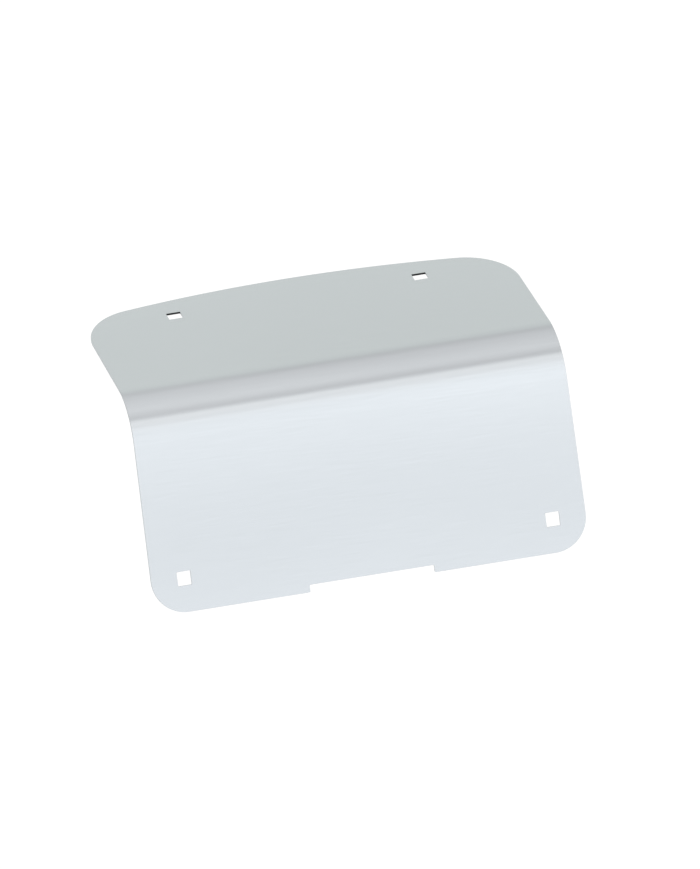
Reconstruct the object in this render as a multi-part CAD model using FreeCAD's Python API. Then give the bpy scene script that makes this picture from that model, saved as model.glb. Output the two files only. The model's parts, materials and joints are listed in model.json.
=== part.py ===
import FreeCAD, Part
import math
import os

# Sneeze guard: one stainless sheet with a leaning front panel, one large-radius bend
# and a level top flange that bolts down to a stand. Millimetres, +Z up, +X across the
# guard, -Y towards the guests. The origin is on the flange's underside, midway
# between its two bolt holes.

# Sheet and bend
WIDTH = 320.0  # across the front panel's bottom edge
THICKNESS = 1.5
BEND_RADIUS = 41.2  # inner face
BEND_ANGLE = 66.8  # degrees between the flange and the front panel
PANEL_HEIGHT = 121.2  # flat part of the panel, up its slope
FLANGE_DEPTH = 116.5  # flat part of the flange, at the middle of its rear edge

# Outline
REAR_WIDTH = 312.8  # across the flange's rear corners, before they are rounded
REAR_CROWN = 15.0  # how far the arched rear edge rises between its corners
REAR_CORNER_RADIUS = 41.0
FRONT_CORNER_RADIUS = 25.0
NOTCH_WIDTH = 91.5
NOTCH_DEPTH = 5.3
NOTCH_CORNER_RADIUS = 1.0

# Holes for carriage bolts: square in the panel, wider than they are deep in the flange
HOLE_CORNER_RADIUS = 0.4
PANEL_HOLE_SIDE = 10.0
PANEL_HOLE_X = 135.5
PANEL_HOLE_RISE = 24.0  # from the panel's bottom edge, up its slope
FLANGE_HOLE_WIDTH = 10.2  # across the guard
FLANGE_HOLE_DEPTH = 8.5  # front to back
FLANGE_HOLE_X = 90.2
FLANGE_HOLE_INSET = 26.7  # from the middle of the rear edge to the hole centres

# Places that follow from the sizes above
REAR_Y = FLANGE_HOLE_INSET
BEND_END_Y = REAR_Y - FLANGE_DEPTH  # where the flat flange meets the bend
OUTER_RADIUS = BEND_RADIUS + THICKNESS
LEAN = math.radians(BEND_ANGLE)
UP_PANEL = FreeCAD.Vector(0, math.cos(LEAN), math.sin(LEAN))
OUT_OF_PANEL = FreeCAD.Vector(0, -math.sin(LEAN), math.cos(LEAN))
ACROSS = FreeCAD.Vector(1, 0, 0)
BEND_CENTRE = FreeCAD.Vector(0, BEND_END_Y, -BEND_RADIUS)
PANEL_TOP = BEND_CENTRE + OUT_OF_PANEL * OUTER_RADIUS
PANEL_BOTTOM = PANEL_TOP - UP_PANEL * PANEL_HEIGHT
CUT = 10.0  # how far a cutting tool reaches past the sheet


def arc_on_bend(radius):
    middle = FreeCAD.Vector(0, -math.sin(LEAN / 2), math.cos(LEAN / 2))
    start = BEND_CENTRE + OUT_OF_PANEL * radius
    end = BEND_CENTRE + FreeCAD.Vector(0, 0, radius)
    return Part.Arc(start, BEND_CENTRE + middle * radius, end).toShape()


def folded_strip():
    """The bent sheet at full width, before its outline is cut."""
    outer_arc = arc_on_bend(OUTER_RADIUS)
    inner_arc = arc_on_bend(BEND_RADIUS)
    back = OUT_OF_PANEL * -THICKNESS
    outer_end = FreeCAD.Vector(0, REAR_Y, THICKNESS)
    inner_end = FreeCAD.Vector(0, REAR_Y, 0)
    bend_end = FreeCAD.Vector(0, BEND_END_Y, 0)
    edges = [
        Part.LineSegment(PANEL_BOTTOM, PANEL_TOP).toShape(),
        outer_arc,
        Part.LineSegment(bend_end + FreeCAD.Vector(0, 0, THICKNESS), outer_end).toShape(),
        Part.LineSegment(outer_end, inner_end).toShape(),
        Part.LineSegment(inner_end, bend_end).toShape(),
        inner_arc,
        Part.LineSegment(PANEL_TOP + back, PANEL_BOTTOM + back).toShape(),
        Part.LineSegment(PANEL_BOTTOM + back, PANEL_BOTTOM).toShape(),
    ]
    profile = Part.Face(Part.Wire(Part.__sortEdges__(edges)))
    profile.translate(ACROSS * (-WIDTH / 2))
    return profile.extrude(ACROSS * WIDTH)


def plan_outline():
    """Seen from above: sides that close in towards the rear, and an arched rear edge."""
    front_y = PANEL_BOTTOM.y
    corner_y = REAR_Y - REAR_CROWN
    bottom = PANEL_BOTTOM.z - CUT
    front_left = FreeCAD.Vector(-WIDTH / 2, front_y, bottom)
    front_right = FreeCAD.Vector(WIDTH / 2, front_y, bottom)
    rear_right = FreeCAD.Vector(REAR_WIDTH / 2, corner_y, bottom)
    rear_left = FreeCAD.Vector(-REAR_WIDTH / 2, corner_y, bottom)
    rear_middle = FreeCAD.Vector(0, REAR_Y, bottom)
    edges = [
        Part.LineSegment(front_left, front_right).toShape(),
        Part.LineSegment(front_right, rear_right).toShape(),
        Part.Arc(rear_right, rear_middle, rear_left).toShape(),
        Part.LineSegment(rear_left, front_left).toShape(),
    ]
    face = Part.Face(Part.Wire(edges))
    return face.extrude(FreeCAD.Vector(0, 0, THICKNESS + CUT - bottom))


def rounded_box(across, up, depth, corner_radius):
    """A block centred on the origin with its four edges along Z rounded."""
    block = Part.makeBox(across, up, depth, FreeCAD.Vector(-across / 2, -up / 2, -depth / 2))
    upright = [edge for edge in block.Edges if abs(edge.tangentAt(edge.FirstParameter).z) > 0.9]
    return block.makeFillet(corner_radius, upright)


def on_panel(tool, x, rise):
    """Turns a tool's Z out of the panel and its Y up the slope, then sets it in place."""
    turn = FreeCAD.Rotation(ACROSS, UP_PANEL, OUT_OF_PANEL)
    tool.Placement = FreeCAD.Placement(PANEL_BOTTOM + ACROSS * x + UP_PANEL * rise, turn)
    return tool


def flange_holes():
    tools = []
    for x in (-FLANGE_HOLE_X, FLANGE_HOLE_X):
        tool = rounded_box(FLANGE_HOLE_WIDTH, FLANGE_HOLE_DEPTH, 2 * CUT, HOLE_CORNER_RADIUS)
        tool.translate(ACROSS * x)
        tools.append(tool)
    return tools


def panel_holes():
    tools = []
    for x in (-PANEL_HOLE_X, PANEL_HOLE_X):
        tool = rounded_box(PANEL_HOLE_SIDE, PANEL_HOLE_SIDE, 2 * CUT, HOLE_CORNER_RADIUS)
        tools.append(on_panel(tool, x, PANEL_HOLE_RISE))
    return tools


def notch_tool():
    low = FreeCAD.Vector(-NOTCH_WIDTH / 2, -NOTCH_DEPTH, -CUT)
    return on_panel(Part.makeBox(NOTCH_WIDTH, 2 * NOTCH_DEPTH, 2 * CUT, low), 0, 0)


def round_corners(solid, radius, corner):
    """Rounds the left and right edges through the sheet that are nearest to a corner."""
    points = [FreeCAD.Vector(side * corner.x, corner.y, corner.z) for side in (-1, 1)]
    through = [edge for edge in solid.Edges if edge.Length < 2 * THICKNESS]
    nearest = [min(through, key=lambda edge: edge.CenterOfMass.distanceToPoint(p)) for p in points]
    return solid.makeFillet(radius, nearest)


def guard_panel():
    sheet = folded_strip().common(plan_outline())
    sheet = sheet.cut(notch_tool())
    rear_corner = FreeCAD.Vector(REAR_WIDTH / 2, REAR_Y - REAR_CROWN, THICKNESS / 2)
    front_corner = PANEL_BOTTOM + ACROSS * (WIDTH / 2)
    notch_mouth = PANEL_BOTTOM + ACROSS * (NOTCH_WIDTH / 2)
    notch_root = notch_mouth + UP_PANEL * NOTCH_DEPTH
    sheet = round_corners(sheet, REAR_CORNER_RADIUS, rear_corner)
    sheet = round_corners(sheet, FRONT_CORNER_RADIUS, front_corner)
    sheet = round_corners(sheet, NOTCH_CORNER_RADIUS, notch_mouth)
    sheet = round_corners(sheet, NOTCH_CORNER_RADIUS, notch_root)
    return sheet.cut(flange_holes() + panel_holes())


os.makedirs("parts", exist_ok=True)
guard_panel().exportStep("parts/guard_panel.step")
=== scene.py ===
import json
import math
import bmesh
import bpy
from mathutils import Matrix, Vector


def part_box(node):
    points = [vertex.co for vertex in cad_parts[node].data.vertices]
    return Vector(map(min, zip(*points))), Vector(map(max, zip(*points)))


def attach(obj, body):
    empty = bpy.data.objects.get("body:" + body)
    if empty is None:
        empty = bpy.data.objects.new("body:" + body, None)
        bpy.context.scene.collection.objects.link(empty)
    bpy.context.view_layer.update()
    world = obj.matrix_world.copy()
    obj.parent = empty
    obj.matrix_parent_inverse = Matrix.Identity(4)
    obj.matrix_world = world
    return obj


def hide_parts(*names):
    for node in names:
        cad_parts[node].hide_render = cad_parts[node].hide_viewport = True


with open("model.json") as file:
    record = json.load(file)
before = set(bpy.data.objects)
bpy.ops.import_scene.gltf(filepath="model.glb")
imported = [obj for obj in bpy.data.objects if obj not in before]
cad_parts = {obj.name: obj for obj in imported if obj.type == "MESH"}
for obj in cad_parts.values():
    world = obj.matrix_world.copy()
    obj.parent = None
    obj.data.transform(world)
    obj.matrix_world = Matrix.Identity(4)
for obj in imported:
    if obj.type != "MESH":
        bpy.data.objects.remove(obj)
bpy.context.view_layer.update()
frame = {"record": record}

# A sneeze guard folded from one stainless sheet. Metres, in the frame of the CAD part:
# +X across the guard, -Y towards the guests, +Z up, origin on the flange's underside,
# midway between its two bolt holes.

# Sizes of the cut sheet
WIDTH = 0.3200  # across the front panel's bottom edge
REAR_WIDTH = 0.3128  # across the flange's rear corners, before they are rounded
REAR_CROWN = 0.0150  # rise of the arched rear edge between its corners
REAR_CORNER_RADIUS = 0.0410
FRONT_CORNER_RADIUS = 0.0250
NOTCH_WIDTH = 0.0915
NOTCH_DEPTH = 0.0053
NOTCH_CORNER_RADIUS = 0.0010
HOLE_CORNER_RADIUS = 0.0004
PANEL_HOLE_SIDE = 0.0100
FLANGE_HOLE_WIDTH = 0.0102  # across the guard
FLANGE_HOLE_DEPTH = 0.0085  # front to back
BEND_RADIUS = 0.0412  # inner face
EDGE_RADIUS = 0.00015  # burr taken off every cut edge

# Places read from the frame
MOUNTS = {mount["name"]: mount for mount in frame["record"]["mounts"]}
LOW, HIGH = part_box("guard_panel")
THICKNESS = HIGH.z - MOUNTS["flange_seat"]["pos_m"][2]
PANEL_BACK = Vector(MOUNTS["panel_seat"]["axis"])
PANEL_SEAT = Vector(MOUNTS["panel_seat"]["pos_m"])
OUT_OF_PANEL = -PANEL_BACK
UP_PANEL = Vector((0, OUT_OF_PANEL.z, -OUT_OF_PANEL.y))
OUTER_RADIUS = BEND_RADIUS + THICKNESS
BEND_ANGLE = math.atan2(UP_PANEL.z, UP_PANEL.y)
BEND_LENGTH = OUTER_RADIUS * BEND_ANGLE  # along the outer face

# The bend's centre is one inner radius under the flange and one behind the panel's back
AXIS_HEIGHT = Vector((0, 0, -BEND_RADIUS))
AXIS_GAP = (AXIS_HEIGHT - PANEL_SEAT).dot(PANEL_BACK)
BEND_CENTRE = AXIS_HEIGHT + Vector((0, (BEND_RADIUS - AXIS_GAP) / PANEL_BACK.y, 0))

# The flat panel's top, its fall to the bottom edge, and lengths up the outer face from there
PANEL_TOP = BEND_CENTRE + OUT_OF_PANEL * OUTER_RADIUS
PANEL_FALL = PANEL_TOP.z - THICKNESS * OUT_OF_PANEL.z - LOW.z
PANEL_LENGTH = PANEL_FALL / UP_PANEL.z
BEND_END = PANEL_LENGTH + BEND_LENGTH
FLANGE_LENGTH = HIGH.y - BEND_CENTRE.y
BLANK_LENGTH = BEND_END + FLANGE_LENGTH

# Fineness of the mesh
BEND_STRIPS = 64
EDGE_STEPS = 4  # round each rim of a cut edge
CORNER_STEPS = 24
SMALL_CORNER_STEPS = 6
SAME_PLACE = 1e-7  # points nearer than this to a crease are taken to lie on it

# Material slots of the cut walls; the sheet's two faces have slot 0
CUT_WALL = 1
# Slot of the flange holes' walls that face the guests, coloured near-black as painted shade
PAINTED_SHADE_WALL = 2
FACING_GUESTS = -0.7  # beside a wall that faces the guests, the air's direction has less y


def on_sheet(along):
    """The outer face's point and outward normal, a distance up from the bottom edge."""
    if along <= PANEL_LENGTH:
        return PANEL_TOP - UP_PANEL * (PANEL_LENGTH - along), OUT_OF_PANEL
    if along >= BEND_END:
        up = Vector((0, 0, 1))
        return BEND_CENTRE + up * OUTER_RADIUS + Vector((0, along - BEND_END, 0)), up
    turn = (BEND_END - along) / OUTER_RADIUS
    normal = Vector((0, -math.sin(turn), math.cos(turn)))
    return BEND_CENTRE + normal * OUTER_RADIUS, normal


def creases():
    """How far up the sheet the creases of the bend lie."""
    return [PANEL_LENGTH + BEND_LENGTH * strip / BEND_STRIPS for strip in range(BEND_STRIPS + 1)]


def half_width(along):
    """Half the sheet's width: seen from above, its sides are straight and close in to the rear."""
    foot_y = on_sheet(0)[0].y
    taper = (WIDTH - REAR_WIDTH) / 2 / (HIGH.y - REAR_CROWN - foot_y)
    return WIDTH / 2 - taper * (on_sheet(along)[0].y - foot_y)


def arc(centre, radius, start, end, steps, air=1):
    """Outline points, each with the direction of the air beside it. Angles in radians.

    The air is outside the arc where air is 1, and inside it where air is -1.
    """
    points = []
    for step in range(steps + 1):
        angle = start + (end - start) * step / steps
        spoke = Vector((math.cos(angle), math.sin(angle)))
        points.append((Vector(centre) + spoke * radius, spoke * air))
    return points


def front_corner():
    """The rounded corner between the bottom edge and the right side."""
    lean = math.atan2(half_width(0) - half_width(PANEL_LENGTH), PANEL_LENGTH)
    r = FRONT_CORNER_RADIUS
    across = half_width(0) - r * (1 + math.sin(lean)) / math.cos(lean)
    return arc((across, r), r, -math.pi / 2, lean, CORNER_STEPS)


def bend_side():
    """The right side where it runs round the bend."""
    return [(Vector((half_width(along), along)), Vector((1, 0))) for along in creases()]


def rear_edge():
    """The right half of the arched rear edge, from its rounded corner to the middle."""
    half = REAR_WIDTH / 2
    arch = (half * half + REAR_CROWN * REAR_CROWN) / (2 * REAR_CROWN)
    arch_centre = Vector((0, BLANK_LENGTH - arch))
    side = Vector((half - half_width(BEND_END), BLANK_LENGTH - REAR_CROWN - BEND_END)).normalized()
    inward = Vector((-side.y, side.x))
    # the corner's centre is one corner radius in from the side, and one in from the arch
    start = Vector((half_width(BEND_END), BEND_END)) + inward * REAR_CORNER_RADIUS
    gap = start - arch_centre
    reach = gap.dot(side)
    inner = arch - REAR_CORNER_RADIUS
    centre = start + side * (math.sqrt(reach * reach - gap.dot(gap) + inner * inner) - reach)
    spoke = centre - arch_centre
    meet = math.atan2(spoke.y, spoke.x)
    first = math.atan2(-inward.y, -inward.x)
    corner = arc(centre, REAR_CORNER_RADIUS, first, meet, CORNER_STEPS)
    return corner + arc(arch_centre, arch, meet, math.pi / 2, CORNER_STEPS)[1:]


def right_half():
    """The right half of the outline, from the notch round to the middle of the rear edge."""
    r = NOTCH_CORNER_RADIUS
    edge = NOTCH_WIDTH / 2
    root = arc((edge - r, NOTCH_DEPTH - r), r, math.pi / 2, 0, SMALL_CORNER_STEPS, air=-1)
    mouth = arc((edge + r, r), r, math.pi, 1.5 * math.pi, SMALL_CORNER_STEPS)
    return root + mouth + front_corner() + bend_side() + rear_edge()


def outline():
    """The whole outline, anticlockwise on the outer face."""
    right = right_half()
    mirror = [(Vector((-p.x, p.y)), Vector((-air.x, air.y))) for p, air in reversed(right[:-1])]
    return right + mirror


def bolt_hole(across, along, width, depth):
    """A punched rectangular hole, clockwise on the outer face."""
    r = HOLE_CORNER_RADIUS
    reach_x = width / 2 - r
    reach_y = depth / 2 - r
    points = []
    for side_x, side_y, start in ((1, 1, 90), (1, -1, 0), (-1, -1, -90), (-1, 1, -180)):
        centre = (across + side_x * reach_x, along + side_y * reach_y)
        first = math.radians(start)
        points += arc(centre, r, first, first - math.pi / 2, SMALL_CORNER_STEPS, air=-1)
    return points


def bolt_holes():
    """The four holes' outlines on the flat sheet, at the places of the part's mounts."""
    holes = []
    for name, mount in MOUNTS.items():
        spot = Vector(mount["pos_m"])
        if name.startswith("flange_hole"):
            along = BEND_END + spot.y - BEND_CENTRE.y
            holes.append(bolt_hole(spot.x, along, FLANGE_HOLE_WIDTH, FLANGE_HOLE_DEPTH))
        if name.startswith("panel_hole"):
            along = PANEL_LENGTH - (PANEL_TOP - spot).dot(UP_PANEL)
            holes.append(bolt_hole(spot.x, along, PANEL_HOLE_SIDE, PANEL_HOLE_SIDE))
    return holes


def edge_profile():
    """Steps over a cut edge from the outer face to the inner one.

    Each is (inset, depth, out, up), where out and up are the two parts of the normal.
    """
    front = []
    for step in range(EDGE_STEPS + 1):
        turn = math.pi / 2 * step / EDGE_STEPS
        out, up = math.sin(turn), math.cos(turn)
        front.append((EDGE_RADIUS * (1 - out), EDGE_RADIUS * (1 - up), out, up))
    back = [(inset, THICKNESS - depth, out, -up) for inset, depth, out, up in reversed(front)]
    return front + back


def wall_material(point, air):
    """A cut wall's material slot: painted shade in the flange's holes where the wall faces the
    guests.
    """
    return PAINTED_SHADE_WALL if point.y > BEND_END and air.y < FACING_GUESTS else CUT_WALL


def add_cut_edge(sheet, loop, flat_normal):
    """Walls one outline of the flat sheet and returns its rims on the outer and inner face."""
    rings = []
    for inset, depth, out, up in edge_profile():
        ring = []
        for point, air in loop:
            spot = point - air * inset
            vertex = sheet.verts.new((spot.x, spot.y, -depth))
            vertex[flat_normal] = (air.x * out, air.y * out, up)
            ring.append(vertex)
        rings.append(ring)
    count = len(loop)
    for upper, lower in zip(rings, rings[1:]):
        for i in range(count):
            j = (i + 1) % count
            face = sheet.faces.new((upper[i], lower[i], lower[j], upper[j]))
            face.material_index = wall_material(*loop[i])
    rims = []
    for ring in (rings[0], rings[-1]):
        rims.append([sheet.edges.get(ends) for ends in zip(ring, ring[1:] + ring[:1])])
    return rims


def flat_sheet():
    """The flat blank: two faces, a rounded edge round every outline, and creases at the bend."""
    sheet = bmesh.new()
    flat_normal = sheet.verts.layers.float_vector.new("flat_normal")
    loops = [outline()] + bolt_holes()
    outer_rims, inner_rims = zip(*[add_cut_edge(sheet, loop, flat_normal) for loop in loops])
    for rims, up in ((outer_rims, 1), (inner_rims, -1)):
        edges = [edge for rim in rims for edge in rim]
        bmesh.ops.triangle_fill(sheet, edges=edges, use_beauty=True, normal=(0, 0, up))
    for along in creases():
        whole = sheet.verts[:] + sheet.edges[:] + sheet.faces[:]
        bmesh.ops.bisect_plane(
            sheet, geom=whole, dist=SAME_PLACE, plane_co=(0, along, 0), plane_no=(0, 1, 0)
        )
    bmesh.ops.recalc_face_normals(sheet, faces=sheet.faces[:])
    return sheet, flat_normal


def fold(sheet, flat_normal):
    """Bends the flat blank to its real shape and returns each vertex's normal."""
    normals = []
    for vertex in sheet.verts:
        across, along, height = vertex.co
        place, outward = on_sheet(along)
        up_sheet = Vector((0, outward.z, -outward.y))
        vertex.co = place + outward * height + Vector((across, 0, 0))
        flat = vertex[flat_normal]
        normals.append((Vector((flat.x, 0, 0)) + up_sheet * flat.y + outward * flat.z).normalized())
    return normals


def new_object(name, data):
    """An object of a mesh, light or camera, put in the scene."""
    thing = bpy.data.objects.new(name, data)
    bpy.context.scene.collection.objects.link(thing)
    return thing


def guard_panel():
    """The whole guard: one folded sheet in place of the CAD solid."""
    sheet, flat_normal = flat_sheet()
    normals = fold(sheet, flat_normal)
    mesh = bpy.data.meshes.new("guard_panel_sheet")
    sheet.to_mesh(mesh)
    sheet.free()
    mesh.attributes.remove(mesh.attributes["flat_normal"])
    mesh.shade_smooth()
    mesh.normals_split_custom_set_from_vertices(normals)
    # The third material is near-black painted shade for the flange holes' walls that face the
    # guests
    for material in (satin_stainless(), cut_stainless(), painted_shade_steel()):
        mesh.materials.append(material)
    panel = new_object("guard_panel_sheet", mesh)
    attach(panel, "root")
    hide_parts("guard_panel")


# Most of a noise pattern lies between these
NOISE_LOW = 0.3
NOISE_HIGH = 0.7


def new_material(name):
    """A material that starts as one Principled shader, with its nodes and links."""
    material = bpy.data.materials.new(name)
    material.use_nodes = True
    return material, material.node_tree.nodes, material.node_tree.links


def noise(nodes, links, stretch, detail, roughness):
    """A noise pattern in the object's own space, with so many cells a metre each way."""
    place = nodes.new("ShaderNodeTexCoord")
    scale = nodes.new("ShaderNodeVectorMath")
    scale.operation = "MULTIPLY"
    scale.inputs[1].default_value = stretch
    pattern = nodes.new("ShaderNodeTexNoise")
    pattern.inputs["Scale"].default_value = 1.0
    pattern.inputs["Detail"].default_value = detail
    pattern.inputs["Roughness"].default_value = roughness
    links.new(place.outputs["Object"], scale.inputs[0])
    links.new(scale.outputs["Vector"], pattern.inputs["Vector"])
    return pattern.outputs["Fac"]


def remap(nodes, links, source, low, high):
    """Spreads the middle of a noise pattern over a range."""
    spread = nodes.new("ShaderNodeMapRange")
    spread.inputs["From Min"].default_value = NOISE_LOW
    spread.inputs["From Max"].default_value = NOISE_HIGH
    spread.inputs["To Min"].default_value = low
    spread.inputs["To Max"].default_value = high
    links.new(source, spread.inputs["Value"])
    return spread.outputs["Result"]


def add_tint(nodes, links, factor, low, high):
    """Colours the shader between two colours, by a pattern from 0 to 1."""
    tint = nodes.new("ShaderNodeMix")
    tint.data_type = "RGBA"
    tint.inputs["A"].default_value = (*low, 1)
    tint.inputs["B"].default_value = (*high, 1)
    links.new(factor, tint.inputs["Factor"])
    links.new(tint.outputs["Result"], nodes["Principled BSDF"].inputs["Base Color"])


def add_bump(nodes, links, height, strength, distance):
    """Gives the shader's surface a fine relief, by a pattern and in metres."""
    bump = nodes.new("ShaderNodeBump")
    bump.inputs["Strength"].default_value = strength
    bump.inputs["Distance"].default_value = distance
    links.new(height, bump.inputs["Height"])
    links.new(bump.outputs["Normal"], nodes["Principled BSDF"].inputs["Normal"])


def satin_stainless():
    """Satin stainless steel with a fine grain across the guard."""
    material, nodes, links = new_material("satin_stainless")
    steel = nodes["Principled BSDF"]
    steel.inputs["Metallic"].default_value = 1.0
    grain = noise(nodes, links, (40, 6000, 6000), 3, 0.6)
    shade = remap(nodes, links, grain, 0, 1)
    add_tint(nodes, links, shade, (0.475, 0.504, 0.530), (0.509, 0.539, 0.566))
    clouding = noise(nodes, links, (9, 14, 14), 3, 0.5)
    links.new(remap(nodes, links, clouding, 0.185, 0.215), steel.inputs["Roughness"])
    add_bump(nodes, links, grain, 0.4, 0.000003)
    return material


def cut_stainless():
    """The sheared and deburred edges: rougher than the faces, with a fine, even speckle."""
    material, nodes, links = new_material("cut_stainless")
    steel = nodes["Principled BSDF"]
    steel.inputs["Metallic"].default_value = 1.0
    steel.inputs["Base Color"].default_value = (0.50, 0.52, 0.54, 1)
    speckle = noise(nodes, links, (3500, 3500, 3500), 3, 0.6)
    links.new(remap(nodes, links, speckle, 0.38, 0.5), steel.inputs["Roughness"])
    add_bump(nodes, links, speckle, 0.6, 0.00001)
    return material


def painted_shade_steel():
    """The flange holes' walls that face the guests: painted shade, a near-black colour standing in
    for the shade these walls mirror, with a faint mottle, and dull.
    """
    material, nodes, links = new_material("painted_shade_steel")
    steel = nodes["Principled BSDF"]
    steel.inputs["Metallic"].default_value = 0.6
    steel.inputs["Specular IOR Level"].default_value = 0.2
    # A faint mottle over the painted shade
    scale = noise(nodes, links, (2600, 2600, 2600), 3, 0.6)
    # Near-black colours: painted shade on these walls
    add_tint(nodes, links, scale, (0.015, 0.017, 0.018), (0.035, 0.037, 0.039))
    links.new(remap(nodes, links, scale, 0.5, 0.7), steel.inputs["Roughness"])
    return material


def floor():
    """A large, plain white floor, lit from within like a light table, well below the guard."""
    height = -0.45
    half = 8.0
    mesh = bpy.data.meshes.new("floor")
    around = ((-half, -half), (half, -half), (half, half), (-half, half))
    corners = [(x, y, height) for x, y in around]
    mesh.from_pydata(corners, [], [(0, 1, 2, 3)])
    material, nodes, _ = new_material("white_floor")
    paint = nodes["Principled BSDF"]
    paint.inputs["Base Color"].default_value = (0.15, 0.15, 0.15, 1)
    paint.inputs["Roughness"].default_value = 0.9
    paint.inputs["Specular IOR Level"].default_value = 0.1
    paint.inputs["Emission Color"].default_value = (1, 1, 1, 1)
    paint.inputs["Emission Strength"].default_value = 0.89
    mesh.materials.append(material)
    new_object("floor", mesh)


def softbox(name, place, target, size, radiance):
    """A white rectangular light that the camera does not see. Its power follows its area."""
    data = bpy.data.lights.new(name, "AREA")
    data.shape = "RECTANGLE"
    data.size, data.size_y = size
    data.energy = radiance * math.pi * data.size * data.size_y
    lamp = new_object(name, data)
    aim = (Vector(target) - Vector(place)).to_track_quat("-Z", "Y")
    lamp.matrix_world = Matrix.Translation(place) @ aim.to_matrix().to_4x4()
    lamp.visible_camera = False


def softboxes():
    """Two wide lights in front, one behind, and faint ones front right, rear left and top left."""
    softbox("upper_softbox", (0.15, -0.71, 0.42), (0.15, 0, 0.42), (1.8, 0.6), 0.22)
    softbox("lower_softbox", (0.15, -0.73, -0.22), (0.15, 0, -0.22), (1.8, 0.4), 0.55)
    softbox("right_softbox", (0.85, -0.68, 0.30), (0.85, 0, 0.30), (1.3, 0.35), 0.06)
    softbox("rear_softbox", (0.0, 0.60, 0.1), (0.0, 0, 0.1), (1.2, 0.4), 0.22)
    softbox("rear_left_softbox", (-0.25, 0.7, 0.65), (-0.25, 0, 0), (0.9, 0.4), 0.03)
    softbox("left_softbox", (-0.35, 0.0, 0.8), (-0.35, 0, 0), (1.1, 1.2), 0.045)


def sky_bands():
    """The sky's colours from the front horizon, over the top, to the back horizon.

    Each is (degrees, colour). Two dim gaps overhead show as dark lines along the bend.
    """
    neutral = ((0, 0.85), (15, 0.75), (40, 0.72))
    warm = ((59, 0.78), (64, 0.86), (69, 0.46), (75, 0.57), (85, 0.67), (120, 0.57), (130, 0.47))
    green = ((137, 0.57), (160, 0.57), (180, 0.65))
    bands = []
    for tint, levels in (((1, 1, 1), neutral), ((1, 0.98, 0.965), warm), ((0.985, 1, 0.96), green)):
        bands += [(degrees, [level * part for part in tint] + [1]) for degrees, level in levels]
    return bands


def sky_colour(nodes, links, direction):
    """Lays the bands across the sky, by the angle from the front horizon over the top."""
    toward_front = nodes.new("ShaderNodeMath")
    toward_front.operation = "MULTIPLY"
    toward_front.inputs[1].default_value = -1.0
    angle = nodes.new("ShaderNodeMath")
    angle.operation = "ARCTAN2"
    share = nodes.new("ShaderNodeMapRange")
    share.inputs["From Min"].default_value = 0.0
    share.inputs["From Max"].default_value = math.pi
    ramp = nodes.new("ShaderNodeValToRGB")
    bands = sky_bands()
    elements = ramp.color_ramp.elements
    while len(elements) < len(bands):
        elements.new(0.5)  # each gets its own place below
    for element, (degrees, colour) in zip(elements, bands):
        element.position = degrees / 180
        element.color = colour
    links.new(direction.outputs["Y"], toward_front.inputs[0])
    links.new(direction.outputs["Z"], angle.inputs[0])
    links.new(toward_front.outputs["Value"], angle.inputs[1])
    links.new(angle.outputs["Value"], share.inputs["Value"])
    links.new(share.outputs["Result"], ramp.inputs["Fac"])
    return ramp.outputs["Color"]


def sky_strength(nodes, links, direction):
    """Full strength over the middle of the sky, fading towards its left and right sides."""
    sideways = nodes.new("ShaderNodeMath")
    sideways.operation = "ABSOLUTE"
    fade = nodes.new("ShaderNodeMapRange")
    fade.interpolation_type = "SMOOTHSTEP"
    fade.inputs["From Min"].default_value = 0.45
    fade.inputs["From Max"].default_value = 0.95
    fade.inputs["To Min"].default_value = 1.88
    fade.inputs["To Max"].default_value = 0.7
    links.new(direction.outputs["X"], sideways.inputs[0])
    links.new(sideways.outputs["Value"], fade.inputs["Value"])
    return fade.outputs["Result"]


def sky():
    """A pale, soft sky, with bands that the bend mirrors as light and dark lines."""
    world = bpy.data.worlds.new("studio")
    bpy.context.scene.world = world
    world.use_nodes = True
    nodes, links = world.node_tree.nodes, world.node_tree.links
    place = nodes.new("ShaderNodeTexCoord")
    direction = nodes.new("ShaderNodeSeparateXYZ")
    links.new(place.outputs["Generated"], direction.inputs[0])
    background = nodes["Background"]
    links.new(sky_colour(nodes, links, direction), background.inputs["Color"])
    links.new(sky_strength(nodes, links, direction), background.inputs["Strength"])


def camera():
    """Looks down on the guard from the front left, without perspective."""
    azimuth = math.radians(-16.25)
    elevation = math.radians(29.16)
    roll = math.radians(-1.05)
    shift = Vector((0.0143, -0.00265, 0))  # sets the guard a little left and up in the picture
    distance = 2.0
    data = bpy.data.cameras.new("camera")
    data.type = "ORTHO"
    data.ortho_scale = 0.6118
    data.clip_end = 20.0
    turn = Matrix.Rotation(azimuth, 3, "Z") @ Matrix.Rotation(math.pi / 2 - elevation, 3, "X")
    turn = turn @ Matrix.Rotation(roll, 3, "Z")
    aim = (LOW + HIGH) / 2 + turn @ shift
    eye = new_object("camera", data)
    eye.matrix_world = Matrix.Translation(aim + turn @ Vector((0, 0, distance))) @ turn.to_4x4()
    bpy.context.scene.camera = eye
    bpy.context.scene.view_settings.view_transform = "Standard"  # true colours, no film look


guard_panel()
floor()
sky()
softboxes()
camera()
